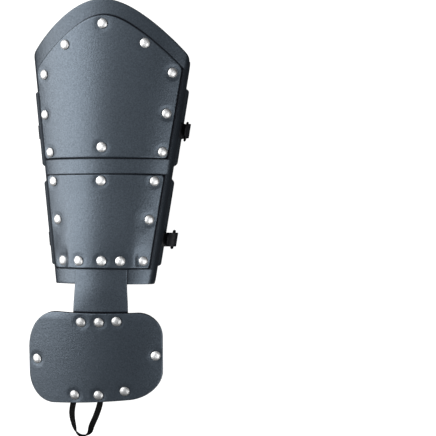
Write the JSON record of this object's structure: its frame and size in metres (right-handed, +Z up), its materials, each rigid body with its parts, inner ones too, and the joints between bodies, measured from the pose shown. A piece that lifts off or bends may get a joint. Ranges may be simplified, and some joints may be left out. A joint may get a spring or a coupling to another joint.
{
  "type": "leather bracer",
  "caption": "Black leather forearm bracer of riveted overlapping plates with a hand plate, side wings, buckled straps across the open back and an elastic finger loop.",
  "frame": {"origin": "under the middle of the object, on the surface that it lies on", "axes": "+Y from the hand to the elbow, +Z up and out of the plates, +X across the arm"},
  "size_m": [0.1526, 0.4044, 0.09],
  "materials": {
    "leather": "satin",
    "strap_leather": "matte",
    "elastic": "matte",
    "black_metal": "satin",
    "nickel": "polished"
  },
  "bodies": {
    "root": {"base_shell": "leather", "upper_plate": "leather", "lower_plate": "leather", "wrist_tongue": "leather", "hand_plate": "leather", "upper_wing_left": "leather", "upper_wing_right": "leather", "lower_wing_left": "leather", "lower_wing_right": "leather", "upper_billet_strap": "strap_leather", "upper_buckle_strap": "strap_leather", "upper_buckle": "black_metal", "upper_prong": "black_metal", "lower_billet_strap": "strap_leather", "lower_buckle_strap": "strap_leather", "lower_buckle": "black_metal", "lower_prong": "black_metal", "finger_loop": "elastic", "palm_strap": "elastic", "upper_rivet_a_1": "nickel", "upper_rivet_b_1": "nickel", "upper_rivet_b_2": "nickel", "upper_rivet_c_1": "nickel", "upper_rivet_c_2": "nickel", "upper_rivet_d_1": "nickel", "upper_rivet_d_2": "nickel", "upper_rivet_e_1": "nickel", "upper_rivet_e_2": "nickel", "upper_rivet_f_1": "nickel", "lower_rivet_a_1": "nickel", "lower_rivet_a_2": "nickel", "lower_rivet_a_3": "nickel", "lower_rivet_b_1": "nickel", "lower_rivet_b_2": "nickel", "lower_rivet_c_1": "nickel", "lower_rivet_c_2": "nickel", "lower_rivet_c_3": "nickel", "lower_rivet_c_4": "nickel", "lower_rivet_c_5": "nickel", "hand_rivet_top_1": "nickel", "hand_rivet_top_2": "nickel", "hand_rivet_top_3": "nickel", "hand_rivet_side_left": "nickel", "hand_rivet_side_right": "nickel", "hand_rivet_low_1": "nickel", "hand_rivet_low_2": "nickel", "hand_rivet_low_3": "nickel"}
  },
  "joints": []
}
